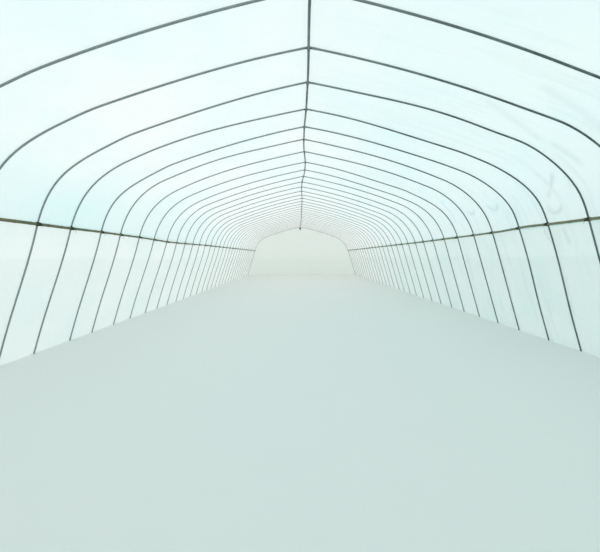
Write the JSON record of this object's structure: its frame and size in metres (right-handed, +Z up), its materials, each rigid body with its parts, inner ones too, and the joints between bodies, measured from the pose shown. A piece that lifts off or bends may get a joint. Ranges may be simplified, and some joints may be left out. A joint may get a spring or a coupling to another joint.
{
  "type": "polytunnel greenhouse",
  "caption": "Arched polytunnel of bent steel hoops with a clipped ridge tube, lashed bamboo side rails and translucent film over roof, sides and ends, with an open doorway",
  "frame": {"origin": "on the ground at the middle of the tunnel's width and length", "axes": "X across the tunnel, +Y along it from the open doorway to the closed far end, +Z up"},
  "size_m": [6.5646, 29.6236, 2.912],
  "materials": {
    "film": "thin translucent polyethylene film, slightly creased and milky",
    "twine": "dark weathered twine and tie wire",
    "bamboo": "old greenish-brown bamboo culms with raised nodes",
    "clip_steel": "dull zinc-plated spring steel",
    "tube_steel": "dull galvanised steel, weathered dark"
  },
  "bodies": {
    "root": {"door_head": "tube_steel", "door_posts": "tube_steel", "eave_film_1_left": "film", "eave_film_1_right": "film", "eave_film_2_left": "film", "eave_film_2_right": "film", "far_end_film": "film", "far_end_hoop": "tube_steel", "hoop_set_1": "tube_steel", "hoop_set_2": "tube_steel", "hoop_set_3": "tube_steel", "hoop_set_4": "tube_steel", "hoop_set_5": "tube_steel", "hoop_set_6": "tube_steel", "hoop_set_7": "tube_steel", "hoop_set_8": "tube_steel", "hoop_set_9": "tube_steel", "left_rail": "bamboo", "left_rail_lashings": "twine", "near_end_film_left": "film", "near_end_film_right": "film", "near_end_film_top": "film", "near_end_hoop": "tube_steel", "near_end_studs": "tube_steel", "ridge_clips": "clip_steel", "ridge_tube": "tube_steel", "right_rail": "bamboo", "right_rail_lashings": "twine", "roof_film_1_left": "film", "roof_film_1_right": "film", "roof_film_2_left": "film", "roof_film_2_right": "film", "side_film_left": "film", "side_film_right": "film"}
  },
  "joints": []
}
